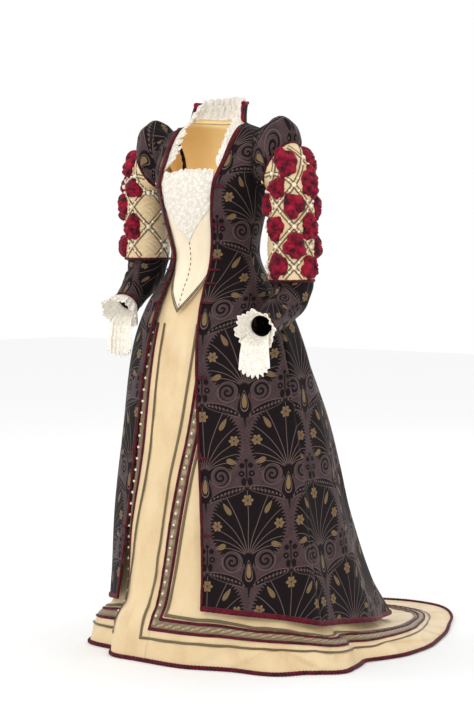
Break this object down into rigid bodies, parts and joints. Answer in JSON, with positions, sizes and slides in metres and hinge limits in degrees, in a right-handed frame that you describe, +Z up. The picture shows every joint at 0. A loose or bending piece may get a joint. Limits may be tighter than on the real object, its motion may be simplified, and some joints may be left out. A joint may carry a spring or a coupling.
{
  "type": "tudor dress",
  "caption": "Long trained dress in two layers: open robe with high collar over a pointed bodice and skirt, puffed sleeves, lace cuffs, empty inside.",
  "frame": {"origin": "between the shoulders, on the centre line at shoulder height, where the wearer carries the dress", "axes": "+Z up along the wearer, +Y towards the wearer's back and the train, +X to the wearer's left"},
  "size_m": [0.8368, 1.2057, 1.4228],
  "materials": {
    "velvet": "figured pile, dark mauve brown",
    "crimson_silk": "satin",
    "burgundy_velvet": "short pile",
    "cream_silk": "satin",
    "gold_braid": "metal thread, dull gold",
    "lining_silk": "satin, golden",
    "lace": "cotton lace, ivory"
  },
  "bodies": {
    "root": {"bodice_front_left": "cream_silk", "bodice_front_right": "cream_silk", "collar": "velvet", "collar_edge": "crimson_silk", "hem_piping": "burgundy_velvet", "lace_cuff_left": "lace", "lace_cuff_right": "lace", "lace_frill": "lace", "lace_plastron": "lace", "lower_sleeve_left": "velvet", "lower_sleeve_right": "velvet", "puff_left_01": "crimson_silk", "puff_left_02": "crimson_silk", "puff_left_03": "crimson_silk", "puff_left_04": "crimson_silk", "puff_left_05": "crimson_silk", "puff_left_06": "crimson_silk", "puff_left_07": "crimson_silk", "puff_left_08": "crimson_silk", "puff_left_09": "crimson_silk", "puff_left_10": "crimson_silk", "puff_left_11": "crimson_silk", "puff_left_12": "crimson_silk", "puff_left_13": "crimson_silk", "puff_left_14": "crimson_silk", "puff_left_15": "crimson_silk", "puff_right_01": "crimson_silk", "puff_right_02": "crimson_silk", "puff_right_03": "crimson_silk", "puff_right_04": "crimson_silk", "puff_right_05": "crimson_silk", "puff_right_06": "crimson_silk", "puff_right_07": "crimson_silk", "puff_right_08": "crimson_silk", "puff_right_09": "crimson_silk", "puff_right_10": "crimson_silk", "puff_right_11": "crimson_silk", "puff_right_12": "crimson_silk", "robe_back_left": "velvet", "robe_back_lining": "lining_silk", "robe_back_right": "velvet", "robe_edge_left": "crimson_silk", "robe_edge_right": "crimson_silk", "robe_front_left": "velvet", "robe_front_right": "velvet", "robe_hem_band": "crimson_silk", "skirt_front_panel": "cream_silk", "skirt_left": "cream_silk", "skirt_right": "cream_silk", "skirt_train": "cream_silk", "skirt_trim": "gold_braid", "sleeve_head_left": "velvet", "sleeve_head_right": "velvet", "under_lace_left": "lace", "under_lace_right": "lace", "upper_sleeve_left": "cream_silk", "upper_sleeve_right": "cream_silk", "waist_braid": "gold_braid"}
  },
  "joints": []
}
